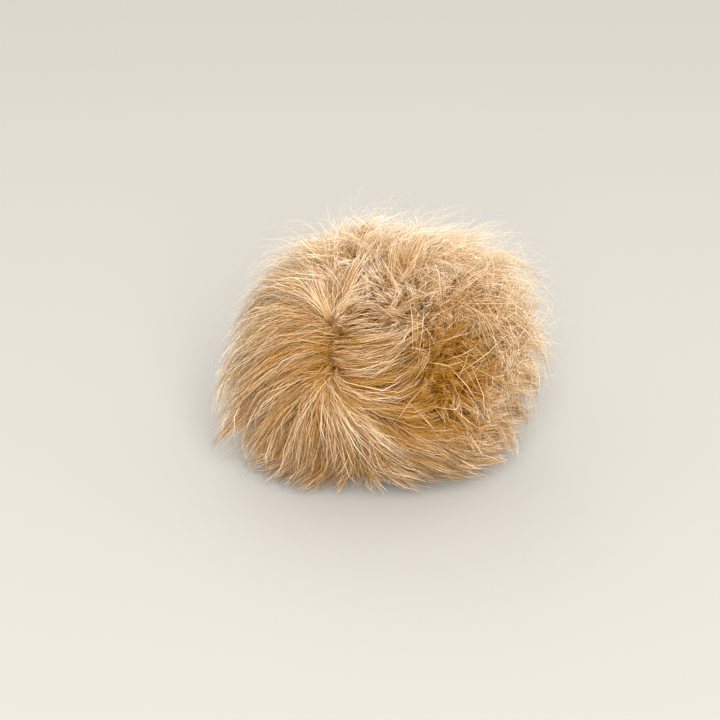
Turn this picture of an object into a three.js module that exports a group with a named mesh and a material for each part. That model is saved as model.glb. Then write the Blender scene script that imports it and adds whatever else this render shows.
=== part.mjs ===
// A long-pile fur pom pom, one solid, in millimetres, +Z up.
// It rests on z = 0 on a small flat foot, and the origin is below its middle.
// The gathered ball of cloth is a faceted backing. Each facet but the foot's
// carries one three-sided lock of pile, and all locks follow one smooth sweep of
// directions over the ball, so they lean and curve together and never cross.
import * as THREE from "three";
import { ConvexHull } from "three/addons/math/ConvexHull.js";

const CENTRE = new THREE.Vector3(0, 0, 42); // the ball's middle
const AXES = new THREE.Vector3(51, 50.5, 48); // reach of the pile along X, Y, Z
const BACKING = 0.7; // the backing's share of that reach
const FOOT_ANGLE = 0.42; // the foot's rim, in radians off straight down
const FOOT_CORNERS = 9;
const POINTS = 143; // corners of the backing above the foot
const DROOP = 0.15; // how much the tips sink
const PRESS = 2.4; // how softly the lowest pile is pressed to the floor

const V = (x, y, z) => new THREE.Vector3(x, y, z).normalize();

// Swells and dips of the pile: direction, millimetres, spread in radians.
const LOBES = [
  [V(-0.8, -0.12, -0.58), 12.5, 0.4],
  [V(-0.62, -0.4, 0.68), -6.5, 0.35],
  [V(0.1, -0.5, -0.86), -1.0, 0.45],
  [V(0, 0.55, -0.83), 9.0, 0.45],
  [V(0.72, -0.33, -0.6), 5.0, 0.28],
  [V(0.84, -0.42, -0.35), -10.0, 0.24],
  [V(0.95, -0.25, 0.2), -4.0, 0.22],
  [V(0.26, 0.42, 0.87), -6.5, 0.26],
  [V(-0.6, -0.713, 0.363), -4.5, 0.2],
  [V(0.62, -0.7, 0.356), -10.0, 0.27],
  [V(0.4, -0.914, 0.073), -5.0, 0.22],
  [V(0.04, -0.38, 0.925), -3.5, 0.17],
  [V(0.3, -0.4, 0.86), -3.0, 0.25],
  [V(-0.25, 0.85, 0.45), -6.0, 0.24],
  [V(0.55, 0.75, -0.2), 3.0, 0.4],
  [V(-0.9, 0.3, 0.3), 1.0, 0.4],
  [V(0, 0.25, 0.97), -3.0, 0.5],
  [V(0.05, -0.85, 0.52), -4.0, 0.3],
];

// Short lines the pile parts at: from, to, sweep, softness, how far it carries.
const PARTINGS = [
  [V(-0.62, -0.72, 0.31), V(-0.58, -0.6, 0.55), 0.95, 0.16, 0.95],
  [V(0.62, -0.7, 0.356), V(0.55, -0.82, 0.15), 0.14, 0.3, 0.5],
  [V(0.04, -0.38, 0.925), V(0.1, -0.3, 0.95), 0.2, 0.15, 0.35],
  [V(-0.25, 0.85, 0.45), V(-0.15, 0.87, 0.45), 0.75, 0.2, 1.2],
  [V(0, 0.15, -1), V(0.1, 0.15, -1), 0.35, 0.3, 0.6],
];
const CALM = 0.28; // how near a parting all else dies out, in radians

// Pushes on the sweep in one place: direction, push, spread in radians.
const PUSHES = [
  [V(0.45, -0.88, -0.1), [0.4, 0, 0.3], 0.5],
  [V(0.1, -0.2, 0.97), [0.05, -0.25, 0], 0.5],
];

// A slow wander of the sweep: push, wave and phase of each term.
const WANDER = [
  [[0.2, 0.05, -0.14], [2.1, 3.3, -1.2], 0.4],
  [[-0.1, 0.19, 0.12], [-3.4, 1.1, 2.6], 2.1],
  [[0.07, -0.12, 0.2], [1.5, -2.4, 3.7], 4.4],
  [[-0.13, -0.08, 0.1], [5.2, 2.9, 4.1], 1.3],
  [[0.1, 0.11, 0.06], [-4.3, 6.1, -2.2], 5.2],
];

function random(seed) {
  let a = seed;
  return () => {
    a = (a + 0x6d2b79f5) | 0;
    let t = Math.imul(a ^ (a >>> 15), 1 | a);
    t = (t + Math.imul(t ^ (t >>> 7), 61 | t)) ^ t;
    return ((t ^ (t >>> 14)) >>> 0) / 4294967296;
  };
}

// How far the pile reaches from the middle in direction n.
function reach(n) {
  let r = 1 / Math.hypot(n.x / AXES.x, n.y / AXES.y, n.z / AXES.z);
  for (const [d, mm, spread] of LOBES)
    r += mm * Math.exp((n.dot(d) - 1) / (spread * spread));
  return r;
}

// The direction on the short line from a to b that is nearest to n.
function nearestOn(n, a, b) {
  const along = b.clone().sub(a);
  const t = n.clone().sub(a).dot(along) / along.lengthSq();
  return a.clone().lerp(b, Math.min(Math.max(t, 0), 1)).normalize();
}

// The sideways sweep of the pile at direction n, when it is a share s grown: away
// from each parting, plus wander and pushes, each calmed at the other partings.
function sweep(n, s) {
  const v = new THREE.Vector3();
  const lines = PARTINGS.map(([a, b]) => nearestOn(n, a, b));
  const dots = lines.map((p) => n.dot(p));
  const calm = dots.map((d) => 1 - Math.exp((d - 1) / (CALM * CALM)));
  const still = calm.reduce((a, b) => a * b);
  PARTINGS.forEach(([, , amount, soft, carry], i) => {
    const away = n.clone().multiplyScalar(dots[i]).sub(lines[i]);
    const others = calm.reduce((a, b, j) => (j === i ? a : a * b), 1);
    const fade = Math.exp((dots[i] - 1) / (carry * carry));
    v.addScaledVector(
      away,
      (amount * fade * others) / Math.hypot(away.length(), soft),
    );
  });
  for (const [push, wave, phase] of WANDER)
    v.addScaledVector(
      new THREE.Vector3(...push),
      Math.sin(n.dot(new THREE.Vector3(...wave)) + phase) * still,
    );
  for (const [d, push, spread] of PUSHES)
    v.addScaledVector(
      new THREE.Vector3(...push),
      Math.exp((n.dot(d) - 1) / (spread * spread)) * still,
    );
  v.z -= DROOP * s * still; // the tips sink a little
  return v.addScaledVector(n, -v.dot(n));
}

// Follow the sweep from share s0 to share s1, either way.
function carried(n, s0, s1) {
  const steps = 12;
  const m = n.clone();
  for (let i = 0; i < steps; i++)
    m.addScaledVector(
      sweep(m, s0 + ((i + 0.5) / steps) * (s1 - s0)),
      (s1 - s0) / steps,
    ).normalize();
  return m;
}

const smooth = (x, a, b) => {
  const t = Math.min(Math.max((x - a) / (b - a), 0), 1);
  return t * t * (3 - 2 * t);
};

// A point at direction n and share s between backing and tip, pressed to the floor.
function place(n, s, sunk = 0) {
  const far = reach(n);
  const near = (BACKING + 0.14 * smooth(-n.z, 0.55, 0.9)) * far - sunk;
  const p = n.clone().multiplyScalar(near + (far - near) * s).add(CENTRE);
  p.z = PRESS * Math.log1p(Math.exp(p.z / PRESS));
  return p;
}

const rnd = random(22);
const EVEN = 0.55; // the share grown at which the locks are evenly spread
const WIDER = 1.05; // most that a lock widens as its neighbours draw apart

// Corners of the backing: a spiral of directions, roughened, above the foot's rim.
const corners = [];
const golden = Math.PI * (3 - Math.sqrt(5));
const lowest = -Math.cos(FOOT_ANGLE + 0.16);
for (let i = 0; i < POINTS; i++) {
  const z = 1 + ((lowest - 1) * (i + 0.5)) / POINTS;
  const a = golden * i;
  const r = Math.sqrt(1 - z * z);
  const n = V(
    r * Math.cos(a) + 0.05 * (rnd() - 0.5),
    r * Math.sin(a) + 0.05 * (rnd() - 0.5),
    z + 0.05 * (rnd() - 0.5),
  );
  corners.push(carried(n, EVEN * smooth(z, -0.75, -0.4), 0));
}
const foot = new Set();
for (let i = 0; i < FOOT_CORNERS; i++) {
  const a = (2 * Math.PI * i) / FOOT_CORNERS;
  const tilt = FOOT_ANGLE + 0.004 * Math.sin(3.7 * i);
  foot.add(corners.length);
  corners.push(
    V(
      Math.sin(tilt) * Math.cos(a),
      Math.sin(tilt) * Math.sin(a),
      -Math.cos(tilt),
    ),
  );
}

const footRadius = CENTRE.z * Math.tan(FOOT_ANGLE) * 0.86;
const points = corners.map((n, i) =>
  foot.has(i)
    ? new THREE.Vector3(n.x, n.y, 0).setLength(footRadius)
    : place(n, 0, 2.2),
);

const hull = new ConvexHull().setFromPoints(corners);
const index = new Map(corners.map((n, i) => [n, i]));
const triangles = [];
let locks = 0;

// Share grown, width against the facet, for each ring of a lock.
const RINGS = [
  [0.0, 0.88],
  [0.34, 0.8],
  [0.66, 0.62],
  [0.88, 0.34],
];

const band = (low, high) =>
  low.forEach((_, k) => {
    const l = (k + 1) % low.length;
    triangles.push([low[k], low[l], high[l]], [low[k], high[l], high[k]]);
  });

for (const face of hull.faces) {
  const ids = [];
  let edge = face.edge;
  do {
    ids.push(index.get(edge.head().point));
    edge = edge.next;
  } while (edge !== face.edge);
  if (ids.every((i) => foot.has(i))) {
    triangles.push(ids);
    continue;
  }
  const middle = new THREE.Vector3();
  ids.forEach((i) => middle.addScaledVector(corners[i], 1 / 3));
  middle.normalize();
  // where its neighbours crowd in, a lock is shorter and thinner
  const crowd = Math.min(
    ...ids.map((i) => {
      const n = middle.clone().lerp(corners[i], 0.5).normalize();
      return (
        carried(n, 0, 0.8).distanceTo(carried(middle, 0, 0.8)) /
        n.distanceTo(middle)
      );
    }),
  );
  const room = smooth(crowd, 0.3, 0.8);
  const long = (1.02 + 0.14 * rnd()) * (1 - 0.3 * (1 - room));
  const ring = RINGS.map(([s, wide]) => {
    const spine = carried(middle, 0, s * long);
    return ids.map((i) => {
      const n = middle
        .clone()
        .lerp(corners[i], wide * (1 - 0.25 * (1 - room)))
        .normalize();
      const side = carried(n, 0, s * long).sub(spine);
      side.clampLength(0, WIDER * n.distanceTo(middle));
      return points.push(place(side.add(spine).normalize(), s * long)) - 1;
    });
  });
  const tip = points.push(place(carried(middle, 0, long), long)) - 1;
  band(ids, ring[0]);
  for (let k = 1; k < ring.length; k++) band(ring[k - 1], ring[k]);
  ring
    .at(-1)
    .forEach((a, k, last) => triangles.push([a, last[(k + 1) % 3], tip]));
  locks++;
}

const geometry = new THREE.BufferGeometry();
geometry.setAttribute(
  "position",
  new THREE.Float32BufferAttribute(
    points.flatMap((p) => [p.x, p.y, p.z]),
    3,
  ),
);
geometry.setIndex(triangles.flat());
geometry.computeBoundingBox(); // the origin goes below the middle of its box
const { min, max } = geometry.boundingBox;
geometry.translate(-(min.x + max.x) / 2, -(min.y + max.y) / 2, 0);
geometry.computeVertexNormals();

const fur = new THREE.MeshStandardMaterial({
  color: 0xc9985c,
  roughness: 0.85,
  side: THREE.FrontSide,
  flatShading: true,
});

const pompom = new THREE.Mesh(geometry, fur);
pompom.name = "pompom";

const group = new THREE.Group();
group.name = "pom pom";
group.userData.locks = locks;
group.add(pompom);

export default group;
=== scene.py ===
"""A long-pile fur pom pom, golden tan, at rest on a pale floor.

The pile is drawn hair by hair as thin closed meshes, all from arrays. The hairs
follow one smooth sweep of directions over the ball. It is the sweep of the solid's
locks, with a few finer terms of its own, so hair and lock lean and part alike.

Every place in the pile is a direction n from the ball's middle and a share s: 0 at
the locks' skin and 1 at their tips. Angles and spreads are in radians.
"""

import math

import bpy
import numpy as np
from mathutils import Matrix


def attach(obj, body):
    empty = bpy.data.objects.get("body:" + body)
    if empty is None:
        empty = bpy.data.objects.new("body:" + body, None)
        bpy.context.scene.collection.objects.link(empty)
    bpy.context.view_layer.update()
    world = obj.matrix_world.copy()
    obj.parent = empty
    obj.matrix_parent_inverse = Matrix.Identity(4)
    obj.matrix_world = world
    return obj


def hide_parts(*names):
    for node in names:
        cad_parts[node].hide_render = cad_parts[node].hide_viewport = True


MM = 0.001
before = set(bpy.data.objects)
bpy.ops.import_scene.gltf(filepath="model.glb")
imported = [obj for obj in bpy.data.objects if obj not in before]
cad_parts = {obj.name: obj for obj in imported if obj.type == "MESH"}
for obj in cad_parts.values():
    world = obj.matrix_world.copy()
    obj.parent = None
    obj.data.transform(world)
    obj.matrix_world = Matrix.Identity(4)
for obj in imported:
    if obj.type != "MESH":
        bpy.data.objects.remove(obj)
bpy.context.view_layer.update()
rng = np.random.default_rng(20)  # drawn from in order, so each run grows the same fur

# ---------------------------------------------------------------- the ball's form

CENTRE = np.array([3.09, -2.418, 42.0])  # the ball's middle, mm
AXES = np.array([51.0, 50.5, 48.0])  # reach of the pile along X, Y, Z, mm
SKIN = 0.7  # the locks' skin, as a share of that reach
PRESS = 2.4  # how softly the lowest pile is pressed to the floor, mm
CLEAR = 0.15  # least height above the floor, mm
DROOP = 0.15  # how much the tips sink

# Swells and dips of the pile: direction, millimetres, spread.
LOBES = [
    ((-0.8, -0.12, -0.58), 12.5, 0.4),
    ((-0.62, -0.4, 0.68), -6.5, 0.35),
    ((0.1, -0.5, -0.86), -1.0, 0.45),
    ((0.0, 0.55, -0.83), 9.0, 0.45),
    ((0.72, -0.33, -0.6), 5.0, 0.28),
    ((0.84, -0.42, -0.35), -10.0, 0.24),
    ((0.95, -0.25, 0.2), -4.0, 0.22),
    ((0.26, 0.42, 0.87), -6.5, 0.26),
    ((-0.6, -0.713, 0.363), -4.5, 0.2),
    ((0.62, -0.7, 0.356), -10.0, 0.27),
    ((0.4, -0.914, 0.073), -5.0, 0.22),
    ((0.04, -0.38, 0.925), -3.5, 0.17),
    ((0.3, -0.4, 0.86), -3.0, 0.25),
    ((-0.25, 0.85, 0.45), -6.0, 0.24),
    ((0.55, 0.75, -0.2), 3.0, 0.4),
    ((-0.9, 0.3, 0.3), 1.0, 0.4),
    ((0.0, 0.25, 0.97), -3.0, 0.5),
    ((0.05, -0.85, 0.52), -4.0, 0.3),
]

# Short lines the pile parts at: from, to, sweep, softness, how far it carries.
# The first, on the -X side, is a little longer than the solid's.
PARTINGS = [
    ((-0.56, -0.8, 0.2), (-0.58, -0.6, 0.55), 0.95, 0.2, 0.95),
    ((0.62, -0.7, 0.356), (0.55, -0.82, 0.15), 0.14, 0.3, 0.5),
    ((0.04, -0.38, 0.925), (0.1, -0.3, 0.95), 0.2, 0.15, 0.35),
    ((-0.25, 0.85, 0.45), (-0.15, 0.87, 0.45), 0.75, 0.2, 1.2),
    ((0, 0.15, -1), (0.1, 0.15, -1), 0.35, 0.3, 0.6),
]
CALM = 0.28  # how near a parting everything else's sweep dies out

# A slow wander of the sweep: push, wave and phase of each term. The last two are
# finer than the locks can show.
WANDER = [
    ((0.2, 0.05, -0.14), (2.1, 3.3, -1.2), 0.4),
    ((-0.1, 0.19, 0.12), (-3.4, 1.1, 2.6), 2.1),
    ((0.07, -0.12, 0.2), (1.5, -2.4, 3.7), 4.4),
    ((-0.13, -0.08, 0.1), (5.2, 2.9, 4.1), 1.3),
    ((0.1, 0.11, 0.06), (-4.3, 6.1, -2.2), 5.2),
    ((0.06, -0.05, 0.07), (8.1, 3.2, -6.3), 0.9),
    ((-0.04, 0.05, 0.04), (-6.2, 8.7, 7.9), 3.3),
]

# Pushes on the sweep in one place: direction, push, spread. The last two lift the
# hair beside the first parting and along the +X edge.
PUSHES = [
    ((0.45, -0.88, -0.1), (0.4, 0.0, 0.3), 0.5),
    ((0.1, -0.2, 0.97), (0.05, -0.25, 0.0), 0.5),
    ((0.1, -0.88, 0.4), (-0.1, 0.2, 0.55), 0.32),
    ((0.9, -0.3, 0.0), (0.0, 0.1, 0.4), 0.5),
]


def unit(v):
    """Rows of v at length 1."""
    v = np.asarray(v, float)
    return v / np.linalg.norm(v, axis=-1, keepdims=True)


def smooth(x, a, b):
    """0 below a, 1 above b, 3t^2 - 2t^3 between."""
    t = np.clip((x - a) / (b - a), 0, 1)
    return t * t * (3 - 2 * t)


def near(n, direction, spread):
    """exp((n.d - 1) / spread^2): 1 at the direction d, fading away from it."""
    return np.exp((n @ unit(direction) - 1) / spread**2)


def marked(start, n, marks):
    """start plus the sum of amount * near(n, d, spread) over marks."""
    for direction, amount, spread in marks:
        start = start + amount * near(n, direction, spread)
    return start


def reach(n):
    """Reach of the pile in mm: the ellipsoid's radius plus the swells and dips."""
    return marked(1 / np.linalg.norm(n / AXES, axis=-1), n, LOBES)


def flat(v, n):
    """v less its part along n."""
    return v - n * np.sum(v * n, axis=1, keepdims=True)


def parting_at(n, a, b):
    """The direction on the short line from a to b that is nearest to each row of n."""
    a, b = unit(a), unit(b)
    t = np.clip((n - a) @ (b - a) / np.sum((b - a) ** 2), 0, 1)
    return unit(a + t[:, None] * (b - a))


def sweep(n, s):
    """The sideways lean at direction n and share s, less its part along n.

    It is the push away from each parting, plus the wander and the pushes, each
    calmed to nothing at the other partings, less DROOP * s in z.
    """
    v = np.zeros_like(n)
    lines = [parting_at(n, p[0], p[1]) for p in PARTINGS]
    dots = [np.sum(n * p, axis=1) for p in lines]
    calm = np.stack([1 - np.exp((d - 1) / CALM**2) for d in dots])
    for i, (_, _, amount, soft, carry) in enumerate(PARTINGS):
        away = dots[i][:, None] * n - lines[i]
        size = np.hypot(np.linalg.norm(away, axis=1), soft)
        others = np.prod(np.delete(calm, i, axis=0), axis=0)
        fade = np.exp((dots[i] - 1) / carry**2)
        v += away * (amount * fade * others / size)[:, None]
    still = np.prod(calm, axis=0)
    for push, wave, phase in WANDER:
        v += (np.sin(n @ np.array(wave) + phase) * still)[:, None] * np.array(push)
    for direction, push, spread in PUSHES:
        v += (near(n, direction, spread) * still)[:, None] * np.array(push)
    v[:, 2] -= DROOP * s * still
    return flat(v, n)


def carried(n, s0, s1, steps, lean, curl, ease):
    """n followed from share s0 to s1, in that many midpoint steps.

    It moves along ease * sweep + lean + curl * (s - MIDDLE), kept on the ball.
    """
    ds = (s1 - s0) / steps
    for i in range(steps):
        s = s0 + (i + 0.5) * ds
        v = ease * sweep(n, s) + lean + curl * (s - MIDDLE)[:, None]
        n = unit(n + flat(v, n) * ds[:, None])
    return n


def placed(n, s):
    """The point in metres at direction n and share s.

    Its distance from the middle is reach * (SKIN + (1 - SKIN) * s). Its height z is
    then PRESS * ln(1 + e^(z / PRESS)), which flattens what would go below the floor.
    """
    p = n * (reach(n) * (SKIN + (1 - SKIN) * s))[:, None] + CENTRE
    p[:, 2] = np.maximum(PRESS * np.logaddexp(0, p[:, 2] / PRESS), CLEAR)
    return p * MM


# --------------------------------------------------------------------- materials


def linear(code):
    """An sRGB hex colour as linear RGBA."""
    c = np.array([int(code[i : i + 2], 16) for i in (1, 3, 5)]) / 255
    c = np.where(c <= 0.04045, c / 12.92, ((c + 0.055) / 1.055) ** 2.4)
    return (*c, 1.0)


def add(tree, kind, inputs=None, **settings):
    """A node of that kind, its inputs set to values or linked from sockets."""
    node = tree.nodes.new(kind)
    for key, value in settings.items():
        setattr(node, key, value)
    for key, value in (inputs or {}).items():
        if isinstance(value, bpy.types.NodeSocket):
            tree.links.new(value, node.inputs[key])
        else:
            node.inputs[key].default_value = value
    return node


def ramp(tree, fac, stops):
    """A colour ramp over fac with stops of (place, hex)."""
    node = add(tree, "ShaderNodeValToRGB", {"Fac": fac})
    els = node.color_ramp.elements
    while len(els) < len(stops):
        els.new(0.5)
    for el, (place, code) in zip(els, stops):
        el.position, el.color = place, linear(code)
    return node.outputs["Color"]


def fur_material(name, deep, pale, through, roughness):
    """Dyed acrylic fibre, coloured by tone along u and from root to tip along v. Both
    carry painted light and shade besides the fibre's own colour.

    deep and pale are ramps of (place, hex) for the lowest and the highest tone. A
    share `through` of the light goes through the fibre and gives the soft glow at
    the rim. The rest is matt: the fibre is too fine and crimped for a highlight.
    """
    mat = bpy.data.materials.new(name)
    mat.use_nodes = True
    tree = mat.node_tree
    tree.nodes.clear()
    uv = add(tree, "ShaderNodeUVMap", uv_map="OFBake").outputs["UV"]
    xyz = add(tree, "ShaderNodeSeparateXYZ", {"Vector": uv}).outputs
    low, high = ramp(tree, xyz["Y"], deep), ramp(tree, xyz["Y"], pale)
    tone_and_painted_light = {"Factor": xyz["X"], 6: low, 7: high}  # 6 and 7 are the colours A and B
    colour = add(tree, "ShaderNodeMix", tone_and_painted_light, data_type="RGBA").outputs[2]
    skin = add(
        tree,
        "ShaderNodeBsdfPrincipled",
        {"Base Color": colour, "Roughness": roughness, "Specular IOR Level": 0.0},
    ).outputs[0]
    glow = add(tree, "ShaderNodeBsdfTranslucent", {"Color": colour}).outputs[0]
    both = add(tree, "ShaderNodeMixShader", {0: through, 1: skin, 2: glow}).outputs[0]
    add(tree, "ShaderNodeOutputMaterial", {"Surface": both})
    return mat


# Acrylic pile, dyed and brushed out: golden brown at the root, honey tan along it and
# cream at the tip, which gives the eye its depth. The deep root is partly painted shade
# of the dense pile and the cream tip partly painted light; the rest is the fibre's own
# colour.
pile = fur_material(
    "dyed_pile_painted_light_shade",
    deep=[(0.0, "#5c3200"), (0.45, "#925b06"), (0.75, "#b6812e"), (1.0, "#d8af75")],
    pale=[(0.0, "#844c02"), (0.45, "#d4a662"), (0.75, "#eedab8"), (1.0, "#fcf8f2")],
    through=0.36,
    roughness=0.5,
)
# Acrylic underfur, short and dense: its darker golden browns are painted shade, so gaps
# look deep.
under = fur_material(
    "dyed_underfur_painted_shade",
    deep=[(0.0, "#542e00"), (0.5, "#865000"), (1.0, "#a46c18")],
    pale=[(0.0, "#744200"), (0.5, "#b07824"), (1.0, "#d0a050")],
    through=0.22,
    roughness=0.6,
)

# ------------------------------------------------------------------- hair meshes

TONES = 128  # strips of the map, from the deepest tone to the palest
EDGE = 0.15  # bare edge on each side of a strip, as a share of it
END = 0.004  # bare edge at the strips' ends
SIDES = 3


def mesh_object(name, points, tris, uvs, material):
    """One smooth triangle mesh with its map named OFBake."""
    me = bpy.data.meshes.new(name)
    me.vertices.add(len(points))
    me.vertices.foreach_set("co", points.astype(np.float32).ravel())
    me.loops.add(tris.size)
    me.loops.foreach_set("vertex_index", tris.astype(np.int32).ravel())
    me.polygons.add(len(tris))
    me.polygons.foreach_set("loop_start", np.arange(0, tris.size, 3, dtype=np.int32))
    layer = me.uv_layers.new(name="OFBake")
    layer.uv.foreach_set("vector", uvs.astype(np.float32).ravel())
    me.update(calc_edges=True)
    me.polygons.foreach_set("use_smooth", np.ones(len(tris), bool))
    me.materials.append(material)
    ob = bpy.data.objects.new(name, me)
    bpy.context.collection.objects.link(ob)
    return ob


def stations(points):
    """Places along a hair, closer at its tip: t = (i / (points - 1))^0.8."""
    return np.linspace(0, 1, points) ** 0.8


def hair_template(rings):
    """Triangles and map corners of one closed hair: its rings, a point, a root cap."""
    tris, uvs = [], []
    v = stations(rings + 1)
    for k in range(rings - 1):
        for j in range(SIDES):
            a, b = SIDES * k + j, SIDES * k + (j + 1) % SIDES
            c, d = b + SIDES, a + SIDES
            u0, u1, v0, v1 = j / SIDES, (j + 1) / SIDES, v[k], v[k + 1]
            tris += [(a, b, c), (a, c, d)]
            uvs += [((u0, v0), (u1, v0), (u1, v1)), ((u0, v0), (u1, v1), (u0, v1))]
    last, tip = SIDES * (rings - 1), SIDES * rings
    v0 = v[rings - 1]
    for j in range(SIDES):
        tris.append((last + j, last + (j + 1) % SIDES, tip))
        uvs.append(((j / SIDES, v0), ((j + 1) / SIDES, v0), ((j + 0.5) / SIDES, 1)))
    tris.append((2, 1, 0))
    uvs.append(((1, 0), (0.5, 0.02), (0, 0)))
    return np.array(tris), np.array(uvs)


def hair_object(name, paths, width, tone, material, taper=2):
    """Hairs along paths (hair, point, xyz), of that greatest width in mm, as one mesh.

    The half width at place t along a hair is 0.5 * width * (1 - t^taper), so it
    thins from root to tip. Each hair takes one strip of the map for its tone, with v
    from root to tip.
    """
    count, rings = paths.shape[0], paths.shape[1] - 1
    tangent = unit(np.gradient(paths, axis=1))
    turn = rng.uniform(0, 2 * math.pi, count)
    side = unit(np.cross(tangent, unit(paths - CENTRE * MM)) + 1e-9)
    up = np.cross(tangent, side)
    half = 0.5 * MM * width[:, None] * (1 - stations(rings + 1)[:rings] ** taper)
    ring = []
    for j in range(SIDES):
        a = turn + j * 2 * math.pi / SIDES
        out = np.cos(a)[:, None, None] * side + np.sin(a)[:, None, None] * up
        ring.append(paths[:, :rings] + out[:, :rings] * half[:, :, None])
    ring = np.stack(ring, axis=2).reshape(count, rings * SIDES, 3)
    points = np.concatenate([ring, paths[:, -1:]], axis=1)
    tris, uvs = hair_template(rings)
    first = np.arange(count) * (rings * SIDES + 1)
    tris = tris[None] + first[:, None, None]
    strip = np.floor(np.clip(tone, 0, 0.999) * TONES)
    uv = np.empty((count,) + uvs.shape)
    across = EDGE + (1 - 2 * EDGE) * uvs[None, ..., 0]
    uv[..., 0] = (strip[:, None, None] + across) / TONES
    uv[..., 1] = END + (1 - 2 * END) * uvs[None, ..., 1]
    return mesh_object(
        name, points.reshape(-1, 3), tris.reshape(-1, 3), uv.reshape(-1, 2), material
    )


# ------------------------------------------------------------------ how hair grows

ROOT = -0.55  # the share that hairs start from, below the skin
MIDDLE = 0.25  # the share at which the hairs are evenly spread
FAR = 1.3  # the furthest share that a gathered hair reaches
LEAST = ROOT + 0.3  # the lowest share that a hair ends at
LOWEST = -3.0  # a hair ends where it would pass this height unpressed, mm
BOW = 1.3  # how much a hair rises first and lies down later
BARE = -0.93  # no hair starts where n_z is below this: the ball rests there
GRID = np.linspace(ROOT, FAR, 30)  # shares at which a tuft's direction is kept


def spread_evenly(count, rough):
    """count directions on a golden spiral, moved by about rough, less the bare foot."""
    i = np.arange(count) + 0.5
    z = 1 - 2 * i / count
    a = math.pi * (1 + math.sqrt(5)) * i
    r = np.sqrt(1 - z * z)
    n = np.stack([r * np.cos(a), r * np.sin(a), z], axis=1)
    n = unit(n + rng.normal(0, rough, n.shape))
    return n[n[:, 2] > BARE]


def flung(count, spread):
    """count random vectors of that spread on each axis."""
    return rng.normal(0, spread, (count, 3))


def nearest(n, centres):
    """Index of the nearest of centres to each row of n, in blocks to save memory."""
    blocks = np.array_split(n, 12)
    return np.concatenate([np.argmax(b @ centres.T, axis=1) for b in blocks])


def tuft_rows(n, lean, curl, ease):
    """Directions (share, tuft, xyz), at the shares of GRID, of tufts through n."""
    one = np.ones(len(n))
    rows = [carried(n, MIDDLE * one, ROOT * one, 8, lean, curl, ease)]
    for a, b in zip(GRID[:-1], GRID[1:]):
        rows.append(carried(rows[-1], a * one, b * one, 1, lean, curl, ease))
    return np.stack(rows)


def tuft_at(which, s):
    """The direction of each hair's tuft at share s, between the two nearest rows."""
    x = (np.clip(s, ROOT, FAR) - ROOT) / (FAR - ROOT) * (len(GRID) - 1)
    i = np.minimum(x.astype(int), len(GRID) - 2)
    f = (x - i)[:, None]
    return unit(tuft_ways[i, which] * (1 - f) + tuft_ways[i + 1, which] * f)


def above_floor(tip, end):
    """The share end, or the share at which the tip would pass LOWEST, if less.

    That is the s at which CENTRE_z + tip_z * reach * (SKIN + (1 - SKIN) * s) is
    LOWEST.
    """
    down = np.maximum(-tip[:, 2] * reach(tip), 1)
    most = ((CENTRE[2] - LOWEST) / down - SKIN) / (1 - SKIN)
    return np.clip(end, LEAST, np.maximum(most, LEAST))


def grown(n, end, points, lean, curl, ease, which=None, hold=0.0, lift=0.0):
    """Hair paths through directions n at share MIDDLE, from share ROOT to end.

    Each hair closes on the middle of its tuft `which` by hold * smooth(t), t being 0
    at the root and 1 at the tip. Its share rises as 1 - (1 - t)^BOW, and lift * t
    more.
    """
    start = np.full(len(n), ROOT)
    middle = np.full(len(n), MIDDLE)
    end = above_floor(carried(n, middle, end, 6, lean, curl, ease), end)
    m = carried(n, middle, start, 8, lean, curl, ease)
    path = []
    s0 = start
    for t in stations(points):
        s1 = start + (end - start) * t
        rise = start + (end - start) * (1 - (1 - t) ** BOW) + lift * t
        m = carried(m, s0, s1, 3, lean, curl, ease)
        s0 = s1
        at = m
        if which is not None:
            g = (hold * smooth(t, 0.05, 0.95))[:, None]
            at = unit(m * (1 - g) + tuft_at(which, s1) * g)
        path.append(placed(at, rise))
    return np.stack(path, axis=1)


# ------------------------------------------------------------ how the pile varies

HOLLOW = (0.62, -0.7, 0.356)  # the deep hollow in the +X half of the front
CREASE = (0.4, -0.914, 0.073)  # the valley that leads down from it
TANGLE = (0.75, -0.6, 0.3)  # its +X rim, where hairs lie any way
ACROSS = (0.81, -0.47, 0.35)  # where long hairs lie across that rim
PUCKER = (-0.6, -0.713, 0.363)  # the parting in the -X half of the front
BAND = (0.1, -0.88, 0.46)  # the lower pile between the two
WHORL = (0.04, -0.38, 0.925)  # the small whorl near the crown
CROWN = (0.0, 0.4, 0.92)
FAN = (-0.12, -0.97, -0.1)  # the long combed pile below the pucker
HEM = (0.0, -0.7, -0.7)  # the pile that meets the floor in front
EAST = (0.95, -0.2, 0.1)  # the +X edge
UPRIGHT = (0.65, -0.1, 0.75)  # where the pile stands up most
AIRY = (0.75, 0.05, 0.6)  # where it is finest and loosest

# Share of a hair's length lost: place, amount, spread.
LENGTHS = [
    (HOLLOW, -0.8, 0.26),
    (CREASE, -0.55, 0.2),
    (PUCKER, -0.3, 0.16),
    (BAND, -0.12, 0.3),
    (WHORL, -0.25, 0.12),
    (HEM, -0.33, 0.42),
]
# Painted shade and light in the tone, 0 the deepest and 1 the palest: place, amount,
# spread. The darker hollow, crease, pucker, band, whorl and fan are painted shade; the
# paler crown and +X edge are painted light.
PAINTED_SHADE_AND_LIGHT = [
    (HOLLOW, -0.85, 0.32),
    (CREASE, -0.65, 0.24),
    (PUCKER, -0.5, 0.24),
    (BAND, -0.4, 0.42),
    (WHORL, -0.25, 0.15),
    (FAN, -0.12, 0.6),
    (CROWN, 0.1, 0.7),
    (EAST, 0.1, 0.5),
]


def shorter(n):
    """Share of a hair's length kept: 1 less what LENGTHS takes at n."""
    return marked(1, n, LENGTHS)


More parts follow.
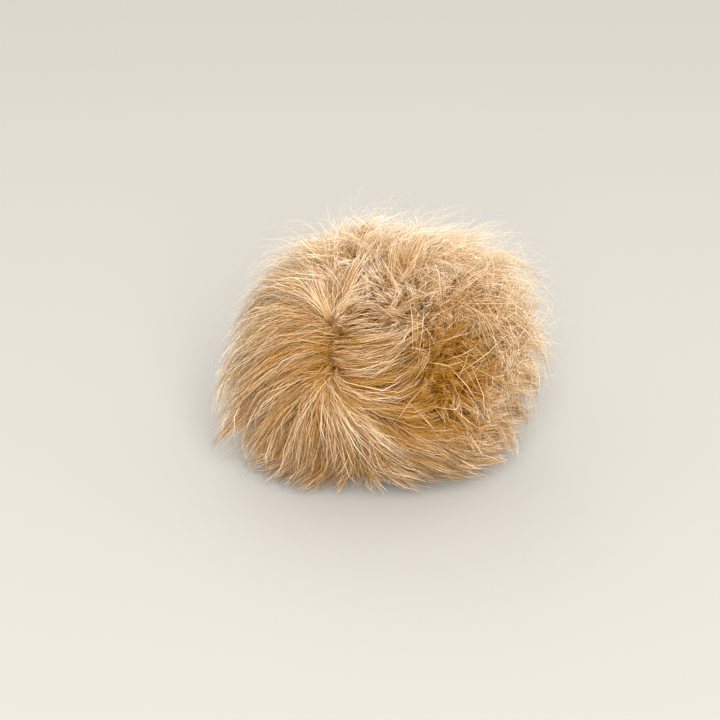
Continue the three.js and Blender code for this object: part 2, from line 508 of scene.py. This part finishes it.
def tones(n, spread):
    """Tone of each hair: 0.36 + 0.36 n_z + 0.08 n_x, which is painted light, paler to
    the top and the +X side, plus a random part of the fibre's own, then the painted
    shade and light listed by place.
    """
    base = 0.36 + 0.36 * n[:, 2] + 0.08 * n[:, 0]
    return marked(base + rng.normal(0, spread, len(n)), n, PAINTED_SHADE_AND_LIGHT)


def standing(n):
    """How much of the sweep the pile takes: all on the fan, 0.45 near UPRIGHT."""
    return (1 - 0.55 * smooth(n @ unit(UPRIGHT), 0.1, 0.8))[:, None]


def airy(n):
    """0 on the fan to 1 at AIRY: how fine, loose and uneven in length the pile is."""
    return smooth(n @ unit(AIRY), 0.3, 1.0)


# The tufts that the pile gathers into, shared by every gathered piece. They lean and
# curl less on the fan and towards the floor, and more in the tangle.
tufts = spread_evenly(1150, 0.04)
even = (1 - 0.6 * near(tufts, FAN, 0.6)) * (1 - 0.6 * smooth(-tufts[:, 2], 0.3, 0.7))
even = (even * (1 + 1.2 * near(tufts, TANGLE, 0.5)))[:, None]
tuft_lean = flung(len(tufts), 0.15) * even
tuft_curl = flung(len(tufts), 0.12) * even
tuft_ways = tuft_rows(tufts, tuft_lean, tuft_curl, standing(tufts))
tuft_bond = 1 - 0.45 * airy(tufts)
tuft_long = rng.normal(0, 0.12, len(tufts))
tuft_lift = rng.normal(0, 0.08, len(tufts)) * (1 - smooth(-tufts[:, 2], 0.4, 0.8))
tuft_tone = rng.normal(0, 0.2, len(tufts)) * tuft_bond

# ---------------------------------------------------------------------- the pieces

# Real fibre is some 0.05 mm thick, which is too fine to show. The hairs are drawn
# fewer and about 0.1 to 0.4 mm thick instead.


def gathered(
    name, count, material, length, width, hold, points, stray, paler=0, taper=2
):
    """Hairs gathered into the tufts, as one object.

    length is the share they end at and width is in mm. hold is how far they close on
    their tuft, stray how far each leans its own way, and paler is added to the tone.
    """
    n = spread_evenly(count, 0.014)
    which = nearest(n, tufts)
    uneven = rng.normal(0, 0.12, len(n)) * (1 + 1.3 * airy(n))
    end = (length + tuft_long[which] + uneven) * shorter(n)
    end = np.clip(end, LEAST, FAR)
    lean = tuft_lean[which] + flung(len(n), stray)
    curl = tuft_curl[which] + flung(len(n), stray * 0.8)
    holds = np.clip(rng.normal(hold, 0.2, len(n)) * tuft_bond[which], 0, 0.95)
    paths = grown(
        n, end, points, lean, curl, standing(n), which, holds, tuft_lift[which]
    )
    tone = tones(n, 0.3) + tuft_tone[which] + paler
    wide = width * rng.uniform(0.75, 1.25, len(n)) * (1 - 0.35 * airy(n))
    return hair_object(name, paths, wide, tone, material, taper)


def loose(name, count, material, points):
    """Fine pale hairs that lie free of the tufts and stand up more than the rest.

    Most end about where the pile does. On the crown and the +X edge the longest
    reach past it, so the outline fades out softly.
    """
    n = spread_evenly(count, 0.05)
    far = 0.4 + 0.8 * near(n, CROWN, 0.75) + 0.4 * near(n, EAST, 0.5)
    end = 0.8 + far * np.abs(rng.normal(0, 0.5, len(n)))
    most = 1.3 + 0.7 * near(n, CROWN, 0.7) + 0.3 * near(n, EAST, 0.6)
    end = np.minimum(end, most) * shorter(n)
    wild = (0.14 * (1 + 1.8 * near(n, TANGLE, 0.4)))[:, None]
    lean, curl = flung(len(n), 1) * wild, flung(len(n), 0.25) * wild
    paths = grown(n, end, points, lean, curl, 0.6 * standing(n))
    wide = rng.uniform(0.09, 0.17, len(n)) + 0.13 * near(n, TANGLE, 0.4)
    return hair_object(name, paths, wide, 0.3 + tones(n, 0.2), material)


def crossing(name, count, material, points):
    """Long straight pale hairs that lie across the others beyond the hollow.

    count directions are spread, and each is kept by a chance that is greatest at
    ACROSS and falls to nothing in the hollow.
    """
    n = spread_evenly(count, 0.1)
    chance = near(n, ACROSS, 0.4) * (1 - 0.9 * near(n, HOLLOW, 0.24))
    n = n[chance > rng.uniform(0.05, 1, len(n))]
    end = rng.uniform(0.8, 1.15, len(n))
    paths = grown(n, end, points, flung(len(n), 0.32), 0, 0.5)
    wide = rng.uniform(0.18, 0.34, len(n))
    return hair_object(name, paths, wide, rng.normal(0.85, 0.15, len(n)), material, 4)


def ball(name, share, material, rows=60, cols=120):
    """A closed ball round the middle: a grid of latitude and longitude, and two poles.

    Each direction is placed at that share. u follows longitude, v rises a little
    with n_z.
    """
    lat = np.linspace(0, math.pi, rows + 1)[1:-1]
    lon = np.arange(cols) * 2 * math.pi / cols
    la, lo = np.meshgrid(lat, lon, indexing="ij")
    n = np.stack([np.sin(la) * np.cos(lo), np.sin(la) * np.sin(lo), np.cos(la)], 2)
    n = np.concatenate([n.reshape(-1, 3), [[0, 0, 1], [0, 0, -1]]])
    points = placed(n, np.full(len(n), share))
    g = np.arange((rows - 1) * cols).reshape(rows - 1, cols)
    r = np.roll(g, -1, axis=1)
    a, b, c, d = g[:-1], g[1:], r[1:], r[:-1]
    top, low = np.full(cols, len(n) - 2), np.full(cols, len(n) - 1)
    tris = np.concatenate(
        [
            np.stack([a, b, c], -1).reshape(-1, 3),
            np.stack([a, c, d], -1).reshape(-1, 3),
            np.stack([top, g[0], r[0]], -1),
            np.stack([low, r[-1], g[-1]], -1),
        ]
    )
    u = (np.arctan2(n[:, 1], n[:, 0]) / (2 * math.pi)) % 1
    uv = np.stack([0.1 + 0.8 * u, 0.05 + 0.2 * (n[:, 2] + 1) / 2], 1)[tris]
    return mesh_object(name, points, tris, uv.reshape(-1, 2), material)


FOOT = -0.35  # share of the dense foot of the pile, deep under the skin
LAYERS = [(0.62, 0.25), (0.74, 0.22), (0.86, 0.17)]  # length and width of each

# The foot takes the underfur's dark browns: painted shade deep in the pile.
foot = ball("pile_foot", FOOT, under)
furs = [foot]
furs.append(
    gathered(
        "underfur", 8500, under, length=0.3, width=0.4, hold=0.3, points=3, stray=0.1
    )
)
for i, (long, wide) in enumerate(LAYERS, 1):
    furs.append(
        gathered(f"pile_{i}", 12000, pile, long, wide, hold=0.65, points=4, stray=0.05)
    )
furs.append(
    gathered(
        "guard_hairs",
        6000,
        pile,
        length=0.95,
        width=0.3,
        hold=0.3,
        points=5,
        stray=0.07,
        # The guard hairs' paler tone is partly their own colour and partly painted
        # highlight.
        paler=0.42,
        taper=4,
    )
)
furs.append(loose("stray_hairs", 9000, pile, points=4))
furs.append(crossing("crossing_hairs", 2000, pile, points=4))

for ob in furs:
    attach(ob, "root")
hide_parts("pompom")

# ----------------------------------------------------------- floor, light, camera

scene = bpy.context.scene
scene.view_settings.view_transform = "Standard"
scene.cycles.diffuse_bounces = 10  # light gets deep into the pile and comes out gold
scene.cycles.denoising_prefilter = "NONE"  # keeps single hairs sharp

# Pale painted board, matt, so it takes a soft shadow and no reflection.
board = bpy.data.materials.new("pale_floor")
board.use_nodes = True
paint = board.node_tree.nodes["Principled BSDF"].inputs
paint["Base Color"].default_value = linear("#94928d")
paint["Roughness"].default_value = 0.9

HALF = 3  # half the floor's side, m
me = bpy.data.meshes.new("floor")
corners = [(-HALF, -HALF, 0), (HALF, -HALF, 0), (HALF, HALF, 0), (-HALF, HALF, 0)]
me.from_pydata(corners, [], [(0, 1, 2, 3)])
me.materials.append(board)
floor = bpy.data.objects.new("floor", me)
bpy.context.collection.objects.link(floor)

world = bpy.data.worlds.new("soft_room")
scene.world = world
world.use_nodes = True
room = world.node_tree.nodes["Background"].inputs
room["Color"].default_value = (1.0, 0.955, 0.89, 1)  # linear, a warm white
room["Strength"].default_value = 1.12


def area(name, place, aim, size, power):
    """A square soft light at place, facing aim: metres and watts."""
    data = bpy.data.lights.new(name, "AREA")
    data.shape, data.size, data.energy = "SQUARE", size, power
    ob = bpy.data.objects.new(name, data)
    bpy.context.collection.objects.link(ob)
    ob.location = place
    to = np.array(aim) - np.array(place)
    tilt = math.acos(-to[2] / np.linalg.norm(to))
    ob.rotation_euler = (tilt, 0, math.atan2(to[0], -to[1]) + math.pi)


area("window", (0.15, -2.2, 1.6), (0, 0, 0.03), 1.8, 211)
area("rear_soft", (-0.5, 2.6, 2.4), (0, 0, 0.05), 2.2, 22)

ELEVATION = math.radians(27)  # the camera looks down by this much
DISTANCE = 0.686  # from the point it aims at, m
LEFT, DOWN = 0.0115, 0.0033  # how far that point lies off the ball's middle, m
toward = np.array([0, -math.cos(ELEVATION), math.sin(ELEVATION)])
up = np.array([0, math.sin(ELEVATION), math.cos(ELEVATION)])
aim = CENTRE * MM - LEFT * np.array([1, 0, 0]) - DOWN * up
data = bpy.data.cameras.new("camera")
data.lens, data.sensor_width = 104, 36  # mm
camera = bpy.data.objects.new("camera", data)
camera.location = aim + DISTANCE * toward
camera.rotation_euler = (math.pi / 2 - ELEVATION, 0, 0)
bpy.context.collection.objects.link(camera)
scene.camera = camera
